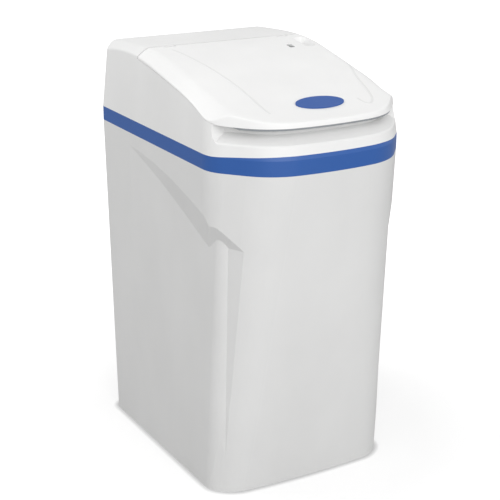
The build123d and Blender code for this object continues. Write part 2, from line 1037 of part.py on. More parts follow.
with BuildPart() as seal_stack:
    seal_start = barrel_front + seal_pitch
    for place in range(seal_count):
        with BuildSketch(Plane.XZ.offset(-(seal_start + place * seal_pitch))):
            with Locations((0, barrel_height)):
                Circle(barrel_bore)
                Circle(piston_radius + seal_clearance, mode=Mode.SUBTRACT)
        extrude(amount=-seal_width)
save(seal_stack, "seal_stack")

piston_front = barrel_front + seal_pitch / 2
plate_front = barrel_front - drive_plate_thickness
gear_back = plate_front - gear_layer_gap
gear_front = gear_back - gear_width
step_back = gear_front - gear_layer_gap
step_front = step_back - gear_width

with BuildPart() as piston:
    with BuildSketch(Plane.XZ.offset(-piston_front)):
        with Locations((0, barrel_height)):
            Circle(piston_radius)
    extrude(amount=-piston_length)
    with BuildSketch(Plane.XZ.offset(-(piston_front + piston_length / 3))):
        with Locations((0, barrel_height)):
            Circle(piston_radius)
            Circle(piston_waist, mode=Mode.SUBTRACT)
    extrude(amount=-piston_length / 3, mode=Mode.SUBTRACT)
    with BuildSketch(Plane.XZ.offset(-piston_front)):
        with Locations((0, barrel_height)):
            Circle(rod_radius)
    extrude(amount=piston_front - step_front + piston_travel)
save(piston, "piston")

# Drive plate and gear train
pitch_main = gear_module * main_teeth / 2
pitch_step = gear_module * step_teeth / 2
pitch_reduction = gear_module * reduction_teeth / 2
pitch_pinion = gear_module * pinion_teeth / 2
reduction_reach = pitch_main + pitch_step
pinion_reach = pitch_reduction + pitch_pinion
main_place = (0, barrel_height)
reduction_place = (
    reduction_reach * cos(radians(reduction_angle)),
    barrel_height + reduction_reach * sin(radians(reduction_angle)),
)
pinion_place = (
    reduction_place[0] + pinion_reach * cos(radians(pinion_angle)),
    reduction_place[1] + pinion_reach * sin(radians(pinion_angle)),
)


def gear_outline(teeth, turn):
    """Closed outline of one spur gear, with a tooth centred at the angle turn."""
    pitch = gear_module * teeth / 2
    tip = pitch + addendum_share * gear_module
    root = pitch - dedendum_share * gear_module
    step = 2 * pi / teeth
    points = []
    for tooth in range(teeth):
        middle = radians(turn) + tooth * step
        for radius, share in (
            (root, -tooth_root_share),
            (pitch, -tooth_share),
            (tip, -tooth_tip_share),
            (tip, tooth_tip_share),
            (pitch, tooth_share),
            (root, tooth_root_share),
        ):
            angle = middle + share * step / 2
            points.append((radius * cos(angle), radius * sin(angle)))
    return points


def meshing_turn(angle, turn, teeth, other_teeth):
    """Turn of a gear that meshes with one whose tooth stands at turn, centre line at angle."""
    step = 360 / teeth
    phase = ((angle - turn) % step) / step
    other_step = 360 / other_teeth
    return angle + 180 + other_step * (phase - 0.5)


step_turn = meshing_turn(reduction_angle, 0, main_teeth, step_teeth)
pinion_turn = meshing_turn(pinion_angle, step_turn, reduction_teeth, pinion_teeth)


def gear_solid(teeth, turn, place, rear):
    """One spur gear on the drive plate, from its rear face forwards."""
    with BuildSketch() as face:
        with BuildLine():
            Polyline(*gear_outline(teeth, turn), close=True)
        make_face()
    with BuildPart() as form:
        with BuildSketch(Plane.XZ.offset(-rear)):
            with Locations(place):
                add(face.sketch)
        extrude(amount=gear_width)
    return form.part


with BuildPart() as main_gear:
    add(gear_solid(main_teeth, 0, main_place, gear_back))
    add(spindle(main_place, hub_radius + axle_clearance, gear_front, gear_back), mode=Mode.SUBTRACT)
    with BuildSketch(Plane.XZ.offset(-gear_back)):
        with Locations(main_place):
            with PolarLocations(web_hole_pitch_radius, web_hole_count):
                Circle(web_hole_radius)
    extrude(amount=gear_width, mode=Mode.SUBTRACT)
save(main_gear, "main_gear")

with BuildPart() as reduction_gear:
    add(gear_solid(step_teeth, step_turn, reduction_place, gear_back))
    add(spindle(reduction_place, pitch_step - 2 * gear_module, step_back, gear_front))
    add(gear_solid(reduction_teeth, step_turn, reduction_place, step_back))
    add(
        spindle(reduction_place, axle_radius + axle_clearance, step_front, gear_back),
        mode=Mode.SUBTRACT,
    )
save(reduction_gear, "reduction_gear")

with BuildPart() as motor_pinion:
    add(gear_solid(pinion_teeth, pinion_turn, pinion_place, step_back))
    add(spindle(pinion_place, motor_shaft_radius, step_front, barrel_front))
save(motor_pinion, "motor_pinion")

with BuildPart() as drive_motor:
    add(spindle(pinion_place, motor_radius, barrel_front, barrel_front + motor_length))
    fillet(drive_motor.faces().sort_by(Axis.Y)[-1].edges(), least_round)
save(drive_motor, "drive_motor")

plate_left = -drive_plate_width / 2 + drive_plate_round
plate_right = panel_x + panel_width / 2
plate_low = barrel_low - drive_plate_round
plate_high = pinion_place[1] + motor_radius + drive_plate_round
shelf_bottom = housing_floor - drive_plate_thickness

with BuildPart() as drive_plate:
    with BuildSketch(Plane.XZ.offset(-plate_front)):
        with BuildLine():
            FilletPolyline(
                (plate_left, plate_low),
                (plate_left, plate_high),
                (plate_right - panel_width, plate_high),
                (plate_right - panel_width, housing_floor),
                (plate_right, housing_floor),
                (plate_right, plate_high - drive_plate_round),
                (pinion_place[0] + motor_radius + drive_plate_round, barrel_height),
                (pinion_place[0], plate_low),
                close=True,
                radius=least_round,
            )
        make_face()
        with Locations(pinion_place):
            Circle(motor_shaft_radius + axle_clearance, mode=Mode.SUBTRACT)
    extrude(amount=-drive_plate_thickness)
    with BuildSketch(Plane.XY.offset(shelf_bottom)):
        with Locations((panel_x, (barrel_front + panel_y + panel_length / 2) / 2)):
            Rectangle(panel_width, panel_y + panel_length / 2 - barrel_front)
    extrude(amount=drive_plate_thickness)
    add(spindle(main_place, hub_radius, gear_front, plate_front))
    add(spindle(reduction_place, axle_radius, step_front, plate_front))
    add(
        spindle(main_place, rod_radius + axle_clearance, gear_front, barrel_front),
        mode=Mode.SUBTRACT,
    )
save(drive_plate, "drive_plate")

# Brine well with its cap, stem, float and check valve
well_place = (well_x, well_y)
well_top = cabinet_wall + well_height
line_height = well_top - cap_height - line_radius - cap_skirt
stem_bottom = cabinet_wall + check_height

with BuildPart() as brine_well:
    add(rod(well_place, well_radius, cabinet_wall, well_top, well_radius - well_wall))
    with Locations((well_x, well_y, cabinet_wall + well_slot_height)):
        with PolarLocations(well_radius, strainer_slots):
            Box(well_slot_width, well_slot_width, well_slot_height, mode=Mode.SUBTRACT)
    add(
        spindle((well_x, line_height), line_radius + seat_gap, well_y, well_y + 2 * well_radius),
        mode=Mode.SUBTRACT,
    )
save(brine_well, "brine_well")

cap_radius = well_radius + cap_clearance + cap_skirt
with BuildPart() as brine_well_cap:
    add(rod(well_place, cap_radius, well_top - cap_height + cap_skirt, well_top + cap_skirt))
    add(
        rod(well_place, well_radius + cap_clearance, well_top - cap_height, well_top),
        mode=Mode.SUBTRACT,
    )
    fillet(brine_well_cap.faces().sort_by(Axis.Z)[-1].edges(), well_wall - cap_clearance)
save(brine_well_cap, "brine_well_cap")

with BuildPart() as check_valve:
    add(rod(well_place, check_radius, cabinet_wall, stem_bottom))
    with Locations((well_x, well_y, cabinet_wall + check_height / 2)):
        with PolarLocations(check_radius, strainer_slots):
            Box(
                check_radius / 2,
                strainer_slot_width,
                check_height / 2,
                mode=Mode.SUBTRACT,
            )
save(check_valve, "check_valve")

with BuildPart() as brine_stem:
    add(rod(well_place, stem_radius, stem_bottom, line_height + 2 * line_radius))
    add(rod(well_place, stem_radius + strainer_slot_width, float_start - well_slot_width, float_start))
    add(
        spindle(
            (well_x, line_height), line_radius + line_wall, well_y, well_y + check_radius
        )
    )
save(brine_stem, "brine_stem")

with BuildPart() as float_body:
    add(
        rod(
            well_place,
            float_radius,
            float_start,
            float_start + float_height,
            stem_radius + float_bore_clearance,
        )
    )
    chamfer(float_body.edges().filter_by(GeomType.CIRCLE).sort_by(SortBy.RADIUS)[-2:], stem_radius)
save(float_body, "float")

line_start = (barrel_radius + nut_length, barrel_front + motor_length + nut_length, barrel_height)
line_points = [
    line_start,
    (well_x, line_start[1], barrel_height),
    (well_x, line_start[1] - check_radius * 2, line_height),
    (well_x, well_y + check_radius, line_height),
]


def bend_radii(points):
    """Radius of each bend: as large as its two runs allow."""
    radii = []
    for before, corner, after in zip(points, points[1:], points[2:]):
        run_in = Vector(*corner) - Vector(*before)
        run_out = Vector(*after) - Vector(*corner)
        half_turn = radians(run_in.get_angle(run_out) / 2)
        radii.append(bend_share * min(run_in.length, run_out.length) / tan(half_turn))
    return radii


with BuildPart() as brine_line:
    with BuildLine() as line_route:
        FilletPolyline(*line_points, radius=bend_radii(line_points))
    with BuildSketch(line_route.line ^ 0):
        Circle(line_radius)
    sweep(path=line_route.line)
save(brine_line, "brine_line")

# Salt platform round the tank and the brine well
platform_plan = base_plan(cabinet_wall + grid_margin)

with BuildPart() as salt_platform:
    with BuildSketch(Plane.XY.offset(grid_height)):
        add(platform_plan)
        with Locations((0, half_depth)):
            Rectangle(cabinet_width, 2 * (half_depth - grid_slot_length), mode=Mode.SUBTRACT)
        with Locations(tank_place):
            Circle(tank_radius + grid_margin, mode=Mode.SUBTRACT)
        with Locations(well_place):
            Circle(well_radius + seat_gap, mode=Mode.SUBTRACT)
        with Locations((-grid_slot_length, -half_depth / 3 - grid_slot_length / 2)):
            with GridLocations(grid_slot_length + grid_slot_pitch, grid_slot_pitch, 3, 9):
                SlotOverall(grid_slot_length, grid_slot_width, mode=Mode.SUBTRACT)
    extrude(amount=grid_thickness)
    for leg_x, leg_y in grid_leg_places:
        add(rod((leg_x, leg_y), grid_leg_radius, cabinet_wall, grid_height))
save(salt_platform, "salt_platform")

# Bypass with its two handles, and the fittings at the rear
bypass_rear = port_rear + bypass_length
handle_y = port_rear + bypass_length / 2
tube_top = barrel_height + bypass_tube_radius
rotor_bottom = barrel_height - bypass_bore + seat_gap
port_places = [(-port_spread, barrel_height), (port_spread, barrel_height)]

with BuildPart() as bypass_body:
    for place in port_places:
        add(spindle(place, bypass_tube_radius, port_rear, bypass_rear))
    with BuildSketch(Plane.XY.offset(barrel_height - bypass_bridge_height / 2)):
        with Locations((0, handle_y)):
            Rectangle(2 * port_spread, bypass_length / 2)
    extrude(amount=bypass_bridge_height)
    for place in port_places:
        add(spindle(place, bypass_bore, port_rear, bypass_rear), mode=Mode.SUBTRACT)
        add(
            rod(
                (place[0], handle_y),
                rotor_radius + rotor_clearance,
                barrel_height - bypass_bore,
                tube_top,
            ),
            mode=Mode.SUBTRACT,
        )
save(bypass_body, "bypass_body")

for side, place in zip(("left", "right"), port_places):
    with BuildPart() as handle:
        add(rod((place[0], handle_y), rotor_radius, rotor_bottom, tube_top + seat_gap))
        add(
            spindle((place[0], barrel_height), rotor_radius / 2, port_rear, bypass_rear),
            mode=Mode.SUBTRACT,
        )
        add(
            rod(
                (place[0], handle_y),
                handle_radius,
                tube_top + seat_gap,
                tube_top + seat_gap + handle_height / 2,
            )
        )
        with Locations((place[0], handle_y, tube_top + seat_gap)):
            Box(handle_grip, 2 * handle_radius, handle_height, align=base_align)
    save(handle, f"bypass_handle_{side}")

with BuildPart() as port_tails:
    for place in port_places:
        add(spindle(place, tail_radius + tail_step, bypass_rear, bypass_rear + nut_length, bypass_bore))
        add(spindle(place, tail_radius, bypass_rear, bypass_rear + nut_length + tail_length, bypass_bore))
save(port_tails, "port_tails")

with BuildPart() as port_nuts:
    for place in port_places:
        with BuildSketch(Plane.XZ.offset(-bypass_rear)):
            with Locations(place):
                RegularPolygon(nut_radius, 6)
                Circle(tail_radius + tail_step, mode=Mode.SUBTRACT)
        extrude(amount=-nut_length)
save(port_nuts, "port_nuts")


def barb(place, front, rear):
    """Hose barb lying front to rear, with its ridges towards the rear end."""
    ridge = barb_length / barb_count
    with BuildPart() as form:
        add(spindle(place, barb_radius, front, rear))
        for count in range(barb_count):
            with BuildSketch(Plane.XZ.offset(-(rear - (count + 1) * ridge))):
                with Locations(place):
                    Circle(barb_radius + line_wall)
            extrude(amount=-ridge, taper=barb_taper)
        add(spindle(place, barb_bore, front, rear), mode=Mode.SUBTRACT)
    return form.part


rear_outside = half_depth + barb_length + nut_length

with BuildPart() as drain_elbow:
    add(barb((drain_x, barrel_height), tank_y + bridge_length, rear_outside))
    with BuildSketch(Plane.YZ.offset(-bridge_width / 2)):
        with Locations((tank_y + bridge_length / 2, barrel_height)):
            Circle(barb_radius)
    extrude(amount=bridge_width / 2 + drain_x - barb_radius)
    with BuildSketch(Plane.XZ.offset(-(tank_y + bridge_length / 2))):
        with Locations((drain_x, barrel_height)):
            Circle(barb_radius)
    extrude(amount=-bridge_length / 2)
save(drain_elbow, "drain_elbow")

overflow_place = (overflow_x, overflow_height)
flange_top = overflow_height + overflow_radius + tank_wall
rear_seat = half_depth - base_rear_inset * (1 - flange_top / cabinet_height) + seat_gap
with BuildPart() as overflow_elbow:
    add(barb(overflow_place, half_depth - tail_length, rear_outside))
    add(spindle(overflow_place, overflow_radius + tank_wall, rear_seat, rear_seat + tank_wall, barb_bore))
    add(spindle(overflow_place, overflow_radius - seat_gap, half_depth - tail_length, rear_seat, barb_bore))
save(overflow_elbow, "overflow_elbow")

# Power inlet: a bare socket, as no cord is in view
with BuildPart() as power_inlet:
    with BuildSketch(Plane.XZ.offset(-rear_seat)):
        with Locations((socket_x, socket_height)):
            RectangleRounded(
                socket_width + 2 * socket_flange,
                socket_opening + 2 * socket_flange,
                socket_round + socket_flange,
            )
    extrude(amount=-socket_wall)
    with BuildSketch(Plane.XZ.offset(-rear_seat)):
        with Locations((socket_x, socket_height)):
            RectangleRounded(socket_width, socket_opening, socket_round)
    extrude(amount=socket_depth)
    with BuildSketch(Plane.XZ.offset(-rear_seat - socket_wall)):
        with Locations((socket_x, socket_height)):
            Rectangle(socket_width - 2 * socket_wall, socket_opening - 2 * socket_wall)
    extrude(amount=socket_depth, mode=Mode.SUBTRACT)
    with BuildSketch(Plane.XZ.offset(-rear_seat)):
        with Locations(
            (socket_x - socket_pin_spread, socket_height),
            (socket_x + socket_pin_spread, socket_height),
        ):
            Circle(socket_pin_radius)
    extrude(amount=socket_depth)
save(power_inlet, "power_inlet")
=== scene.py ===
from math import cos, pi, radians, sin

import bmesh
import bpy
from mathutils import Matrix, Vector
from mathutils.bvhtree import BVHTree
from mathutils.geometry import interpolate_bezier


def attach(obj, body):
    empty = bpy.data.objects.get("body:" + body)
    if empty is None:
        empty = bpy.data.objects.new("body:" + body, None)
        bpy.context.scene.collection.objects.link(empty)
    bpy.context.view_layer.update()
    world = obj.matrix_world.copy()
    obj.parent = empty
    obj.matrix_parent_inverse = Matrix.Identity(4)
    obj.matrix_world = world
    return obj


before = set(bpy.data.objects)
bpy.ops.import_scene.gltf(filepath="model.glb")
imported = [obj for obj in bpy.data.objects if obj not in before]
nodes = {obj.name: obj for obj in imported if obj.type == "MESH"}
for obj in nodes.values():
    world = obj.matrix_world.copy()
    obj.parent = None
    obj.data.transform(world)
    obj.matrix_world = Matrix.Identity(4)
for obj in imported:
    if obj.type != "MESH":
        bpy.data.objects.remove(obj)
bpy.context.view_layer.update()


# Camera

CAMERA_PLACE = Vector((-1.0941, -1.8746, 1.1171))
CAMERA_AZIMUTH = radians(-30.057)
CAMERA_ELEVATION = radians(19.208)
CAMERA_ROLL = radians(0.347)
CAMERA_LENS = 93.1
SENSOR_WIDTH = 36


def make_camera():
    """Camera at the photograph's viewing angle."""
    back = Vector(
        (
            sin(CAMERA_AZIMUTH) * cos(CAMERA_ELEVATION),
            -cos(CAMERA_AZIMUTH) * cos(CAMERA_ELEVATION),
            sin(CAMERA_ELEVATION),
        )
    )
    level = Vector((cos(CAMERA_AZIMUTH), sin(CAMERA_AZIMUTH), 0))
    upright = back.cross(level)
    right = level * cos(CAMERA_ROLL) + upright * sin(CAMERA_ROLL)
    up = back.cross(right)
    data = bpy.data.cameras.new("camera")
    data.lens = CAMERA_LENS
    data.sensor_width = SENSOR_WIDTH
    camera = bpy.data.objects.new("camera", data)
    bpy.context.collection.objects.link(camera)
    turn = Matrix((right, up, back)).transposed().to_4x4()
    camera.matrix_world = Matrix.Translation(CAMERA_PLACE) @ turn
    bpy.context.scene.camera = camera


# Materials: scales are in features per metre, and bump distances in metres

GRAIN_STRENGTH = 0.35
FLOW_SCALE = 7
FLOW_STRETCH = (1, 1, 0.6)
GLOSS_PATCH_SCALE = 40
GLOSS_SWING = 0.05
COAT_ROUGH = 0.12
METAL_SHADES = (0.86, 1.1)
METAL_SWING = (-0.08, 0.1)
METAL_BUMP = (0.2, 0.00008)
WIND_LEAN = 0.5
WIND_SCALE = 55
WIND_WANDER = 1.2
WIND_SHADES = (0.75, 1.2)
WIND_BUMP = (0.4, 0.0006)
RESIN_ROUGH = 0.35
RESIN_COAT = 0.6
RESIN_COAT_ROUGH = 0.1
BEAD_SCALE = 900
# Shares for the beads' colour: lighter crowns are painted light, darker gaps are painted shade
BEAD_CROWN_LIGHT_GAP_SHADE = (1.25, 0.5)
BEAD_BUMP = (-0.6, 0.0006)
BEAD_ROUGH = 0.3
GLASS_LINE_SCALE = 220
GLASS_LINE_STRETCH = (1, 6, 1)
GLASS_SHADES = (0.94, 1.05)
GLASS_SMEAR_SCALE = 60
GLASS_ROUGH = (0.08, 0.16)
GLASS_COAT = 0.8
GLASS_COAT_ROUGH = 0.04
TRACK_SCALE = 160
TRACK_SHADES = (0.9, 1.1, 1.9)
TRACK_BUMP = (0.3, 0.0001)
BOARD_ROUGH = 0.35


def new_material(name):
    """Empty material with a principled shader and its output."""
    material = bpy.data.materials.new(name)
    material.use_nodes = True
    tree = material.node_tree
    return material, tree, tree.nodes["Principled BSDF"]


def noise(tree, scale, detail=4.0, stretch=(1, 1, 1)):
    """Noise in the object's own space, in features per metre."""
    place = tree.nodes.new("ShaderNodeTexCoord")
    mapping = tree.nodes.new("ShaderNodeMapping")
    mapping.inputs["Scale"].default_value = stretch
    texture = tree.nodes.new("ShaderNodeTexNoise")
    texture.inputs["Scale"].default_value = scale
    texture.inputs["Detail"].default_value = detail
    tree.links.new(place.outputs["Object"], mapping.inputs["Vector"])
    tree.links.new(mapping.outputs["Vector"], texture.inputs["Vector"])
    return texture.outputs["Fac"]


def ramp(tree, factor, low, high, start=0.3, end=0.7):
    """Colour that runs from low to high as the factor goes from start to end."""
    node = tree.nodes.new("ShaderNodeValToRGB")
    node.color_ramp.elements[0].position = start
    node.color_ramp.elements[0].color = (*low, 1)
    node.color_ramp.elements[1].position = end
    node.color_ramp.elements[1].color = (*high, 1)
    tree.links.new(factor, node.inputs["Fac"])
    return node.outputs["Color"]


def spread(tree, factor, low, high):
    """Number that runs from low to high with the factor."""
    node = tree.nodes.new("ShaderNodeMapRange")
    node.inputs["To Min"].default_value = low
    node.inputs["To Max"].default_value = high
    tree.links.new(factor, node.inputs["Value"])
    return node.outputs["Result"]


def bump(tree, height, strength, distance):
    """Bumped normal from a height."""
    node = tree.nodes.new("ShaderNodeBump")
    node.inputs["Strength"].default_value = strength
    node.inputs["Distance"].default_value = distance
    tree.links.new(height, node.inputs["Height"])
    return node.outputs["Normal"]


def shade(colour, share):
    """Colour made lighter or darker by a share."""
    return tuple(min(1, part * share) for part in colour)


def plastic(name, colour, rough=0.45, grain=1500, depth=0.00012, mottle=0.03, coat=0.0):
    """Moulded plastic: fine eroded grain, faint flow mottle and uneven gloss."""
    material, tree, shader = new_material(name)
    flow = noise(tree, FLOW_SCALE, 3, FLOW_STRETCH)
    tint = ramp(tree, flow, shade(colour, 1 - mottle), shade(colour, 1 + mottle))
    tree.links.new(tint, shader.inputs["Base Color"])
    fine = noise(tree, grain, 2)
    patches = noise(tree, GLOSS_PATCH_SCALE, 4)
    gloss = spread(tree, patches, rough - GLOSS_SWING, rough + GLOSS_SWING)
    tree.links.new(gloss, shader.inputs["Roughness"])
    tree.links.new(bump(tree, fine, GRAIN_STRENGTH, depth), shader.inputs["Normal"])
    shader.inputs["Coat Weight"].default_value = coat
    shader.inputs["Coat Roughness"].default_value = COAT_ROUGH
    return material


def metal(name, colour, rough=0.3, stretch=(1, 1, 30), scale=60):
    """Drawn or turned metal with fine lines."""
    material, tree, shader = new_material(name)
    lines = noise(tree, scale, 3, stretch)
    dark, light = (shade(colour, share) for share in METAL_SHADES)
    smooth, coarse = (rough + swing for swing in METAL_SWING)
    tree.links.new(ramp(tree, lines, dark, light), shader.inputs["Base Color"])
    tree.links.new(spread(tree, lines, smooth, coarse), shader.inputs["Roughness"])
    tree.links.new(bump(tree, lines, *METAL_BUMP), shader.inputs["Normal"])
    shader.inputs["Metallic"].default_value = 1.0
    return material


def wound(name, colour):
    """Glass fibre wound round the vessel, under gloss resin."""
    material, tree, shader = new_material(name)
    place = tree.nodes.new("ShaderNodeTexCoord")
    heights = []
    for lean in (WIND_LEAN, -WIND_LEAN):
        mapping = tree.nodes.new("ShaderNodeMapping")
        mapping.inputs["Rotation"].default_value = (lean, lean, 0)
        wave = tree.nodes.new("ShaderNodeTexWave")
        wave.bands_direction = "Z"
        wave.inputs["Scale"].default_value = WIND_SCALE
        wave.inputs["Distortion"].default_value = WIND_WANDER
        wave.inputs["Detail"].default_value = 2
        tree.links.new(place.outputs["Object"], mapping.inputs["Vector"])
        tree.links.new(mapping.outputs["Vector"], wave.inputs["Vector"])
        heights.append(wave.outputs["Fac"])
    both = tree.nodes.new("ShaderNodeMath")
    both.operation = "MULTIPLY"
    tree.links.new(heights[0], both.inputs[0])
    tree.links.new(heights[1], both.inputs[1])
    weave = both.outputs["Value"]
    dark, light = (shade(colour, share) for share in WIND_SHADES)
    tree.links.new(ramp(tree, weave, dark, light, 0.1, 0.8), shader.inputs["Base Color"])
    tree.links.new(bump(tree, weave, *WIND_BUMP), shader.inputs["Normal"])
    shader.inputs["Roughness"].default_value = RESIN_ROUGH
    shader.inputs["Coat Weight"].default_value = RESIN_COAT
    shader.inputs["Coat Roughness"].default_value = RESIN_COAT_ROUGH
    return material


def beads(name, colour):
    """Packed resin beads, with painted light on their crowns and painted shade in the gaps between them."""
    material, tree, shader = new_material(name)
    place = tree.nodes.new("ShaderNodeTexCoord")
    cells = tree.nodes.new("ShaderNodeTexVoronoi")
    cells.inputs["Scale"].default_value = BEAD_SCALE
    tree.links.new(place.outputs["Object"], cells.inputs["Vector"])
    # Painted light on each bead's crown and painted shade in the gaps between beads
    crown, gap = (shade(colour, share) for share in BEAD_CROWN_LIGHT_GAP_SHADE)
    tree.links.new(ramp(tree, cells.outputs["Distance"], crown, gap, 0.0, 0.8), shader.inputs["Base Color"])
    tree.links.new(bump(tree, cells.outputs["Distance"], *BEAD_BUMP), shader.inputs["Normal"])
    shader.inputs["Roughness"].default_value = BEAD_ROUGH
    return material


def glass_face(name, colour):
    """Display glass with a faint screen behind it."""
    material, tree, shader = new_material(name)
    lines = noise(tree, GLASS_LINE_SCALE, 1, GLASS_LINE_STRETCH)
    dark, light = (shade(colour, share) for share in GLASS_SHADES)
    tree.links.new(ramp(tree, lines, dark, light), shader.inputs["Base Color"])
    smears = noise(tree, GLASS_SMEAR_SCALE, 2)
    tree.links.new(spread(tree, smears, *GLASS_ROUGH), shader.inputs["Roughness"])
    shader.inputs["Coat Weight"].default_value = GLASS_COAT
    shader.inputs["Coat Roughness"].default_value = GLASS_COAT_ROUGH
    return material


def board_face(name, colour):
    """Circuit board with tracks under the lacquer."""
    material, tree, shader = new_material(name)
    place = tree.nodes.new("ShaderNodeTexCoord")
    bricks = tree.nodes.new("ShaderNodeTexBrick")
    bricks.inputs["Scale"].default_value = TRACK_SCALE
    for socket, share in zip(("Color1", "Color2", "Mortar"), TRACK_SHADES):
        bricks.inputs[socket].default_value = (*shade(colour, share), 1)
    tree.links.new(place.outputs["Object"], bricks.inputs["Vector"])
    tree.links.new(bricks.outputs["Color"], shader.inputs["Base Color"])
    tree.links.new(bump(tree, bricks.outputs["Fac"], *TRACK_BUMP), shader.inputs["Normal"])
    shader.inputs["Roughness"].default_value = BOARD_ROUGH
    return material


LOOKS = {
    "cabinet": plastic("cabinet_shell", (0.74, 0.74, 0.735)),
    "trim_band": plastic("trim_band_blue", (0.022, 0.10, 0.36), rough=0.38),
    "hood": plastic("hood_shell", (0.80, 0.80, 0.795)),
    "lid": plastic("lid_shell", (0.85, 0.85, 0.845)),
    "badge": plastic("badge_blue", (0.018, 0.085, 0.33), rough=0.6),
    "lid_hinge_pins": metal("steel_pin", (0.6, 0.6, 0.61)),
    "control_housing": plastic("housing_grey", (0.60, 0.60, 0.60)),
    "control_panel": plastic("panel_white", (0.80, 0.80, 0.79), rough=0.35),
    "display_lens": glass_face("display_glass", (0.025, 0.03, 0.03)),
    "control_board": board_face("board_green", (0.02, 0.10, 0.04)),
    "resin_tank": wound("tank_wrap", (0.08, 0.13, 0.24)),
    "tank_foot": plastic("foot_black", (0.03, 0.03, 0.032)),
    "lower_strainer": plastic("strainer_white", (0.75, 0.75, 0.72)),
    "upper_strainer": plastic("upper_strainer_white", (0.75, 0.75, 0.72)),
    "riser_tube": plastic("riser_white", (0.7, 0.7, 0.68), rough=0.3),
    "resin_bed": beads("resin_beads", (0.34, 0.16, 0.04)),
    "valve_body": plastic("valve_black", (0.035, 0.035, 0.038), rough=0.4, grain=900),
    "seal_stack": plastic("seal_rubber", (0.02, 0.02, 0.02), rough=0.7),
    "piston": plastic("piston_white", (0.72, 0.71, 0.68), rough=0.3),
    "main_gear": plastic("gear_nylon", (0.70, 0.68, 0.58), rough=0.4),
    "reduction_gear": plastic("step_gear_nylon", (0.66, 0.64, 0.54), rough=0.4),
    "motor_pinion": metal("pinion_steel", (0.55, 0.55, 0.56), stretch=(1, 30, 1)),
    "drive_motor": metal("motor_case", (0.42, 0.43, 0.45), rough=0.42, stretch=(1, 1, 1), scale=300),
    "drive_plate": plastic("plate_black", (0.04, 0.04, 0.043)),
    "brine_well": plastic("well_white", (0.74, 0.74, 0.72)),
    "brine_well_cap": plastic("cap_blue", (0.04, 0.15, 0.40)),
    "check_valve": plastic("check_white", (0.78, 0.77, 0.74)),
    "brine_stem": plastic("stem_white", (0.76, 0.76, 0.74)),
    "float": plastic("float_foam", (0.62, 0.20, 0.05), rough=0.7, grain=500, depth=0.0005),
    "brine_line": plastic("line_white", (0.78, 0.78, 0.76), rough=0.25),
    "salt_platform": plastic("platform_white", (0.70, 0.71, 0.70)),
    "bypass_body": plastic("bypass_black", (0.04, 0.04, 0.043)),
    "bypass_handle_left": plastic("handle_blue", (0.035, 0.12, 0.40)),
    "bypass_handle_right": plastic("handle_blue_right", (0.035, 0.12, 0.40)),
    "port_tails": metal("brass_tail", (0.70, 0.50, 0.22), stretch=(1, 40, 1)),
    "port_nuts": plastic("nut_black", (0.045, 0.045, 0.05)),
    "drain_elbow": plastic("drain_black", (0.04, 0.04, 0.043)),
    "overflow_elbow": plastic("overflow_black", (0.04, 0.04, 0.043)),
    "power_inlet": plastic("inlet_black", (0.035, 0.035, 0.038)),
}
BUTTON_LOOK = plastic("button_grey", (0.42, 0.43, 0.45), rough=0.55)

for name, node in nodes.items():
    node.data.materials.clear()
    node.data.materials.append(LOOKS.get(name, BUTTON_LOOK))


# The lid's two lines, its status lens and a dark strip of painted shadow under its lip, laid on the lid's
# own surface

LID_LINES = {
    "lid_line_left": (
        (-0.118, 0.079), (-0.105, 0.021), (-0.096, -0.015), (-0.090, -0.055),
        (-0.087, -0.097), (-0.087, -0.142), (-0.088, -0.178), (-0.087, -0.196),
    ),
    "lid_line_right": (
        (0.155, 0.079), (0.160, 0.043), (0.163, 0.008), (0.159, -0.028), (0.149, -0.066),
        (0.134, -0.110), (0.124, -0.152), (0.113, -0.183), (0.098, -0.201), (0.088, -0.196), (0.086, -0.178),
    ),
}
LINE_STEPS = 10
# Places across a line and their heights over the lid: a soft crown with its edges sunk in the lid
LINE_SECTION = (
    (-0.0036, -0.00025), (-0.0024, 0.0001), (-0.0010, 0.0004), (0.0004, 0.00045),
    (0.0012, 0.0001), (0.0018, -0.00025), (0.0018, -0.0009), (-0.0036, -0.0009),
)
LENS_PLACE = (0.0935, 0.040)
LENS_SIZE = (0.010, 0.014)
LENS_ROUND = 0.0015
# Rings of the lens: how far in from its outline, and how high over the lid
LENS_RINGS = ((0.0, -0.0008), (0.0, 0.0001), (0.0003, 0.0003))
CORNER_STEPS = 5
FADE_SLOPE_LINE = 4
FADE_SLOPE_LIP_SHADOW = 14
# Size, steps and section of the painted shadow strip under the lid's lip
LIP_SHADOW_HALF = 0.150
LIP_SHADOW_STEPS = 75
LIP_SHADOW_AIM = 0.6445
# Places back from the lip's front and drops from its underside: a soft dark strip with a rounded foot,
# painted shadow under the lip
LIP_SHADOW_SECTION = (
    (0.0012, -0.0008), (0.0012, 0.0028), (0.0017, 0.0035), (0.0027, 0.0038),
    (0.0037, 0.0035), (0.0042, 0.0028), (0.0042, -0.0008),
)

# Dark grey that paints the shadow in the gap under the lid's lip
LIP_SHADOW_LOOK = plastic("lid_lip_painted_shadow", (0.30, 0.32, 0.34), rough=0.75)
# The lid's lines are a darker grey than the lid: painted shade along the creases
LINE_SHADE_LOOK = plastic("lid_line_painted_shade", (0.76, 0.76, 0.755))
LENS_LOOK = glass_face("status_glass", (0.16, 0.17, 0.17))

lid_surface = BVHTree.FromPolygons(
    [vertex.co for vertex in nodes["lid"].data.vertices],
    [polygon.vertices for polygon in nodes["lid"].data.polygons],
)


def over_lid(x, y, height):
    """Point over the lid's upper surface."""
    place = lid_surface.ray_cast(Vector((x, y, 1)), Vector((0, 0, -1)))[0]
    return place + Vector((0, 0, height))


def smooth_run(points):
    """Places along a smooth line through the given ones."""
    spots = [Vector((x, y, 0)) for x, y in points]
    spots = [spots[0], *spots, spots[-1]]
    run = []
    for before, start, end, after in zip(spots, spots[1:], spots[2:], spots[3:]):
        leave = start + (end - before) / 6
        reach = end - (after - start) / 6
        run += interpolate_bezier(start, leave, reach, end, LINE_STEPS)[:-1]
    return [*run, spots[-1]]


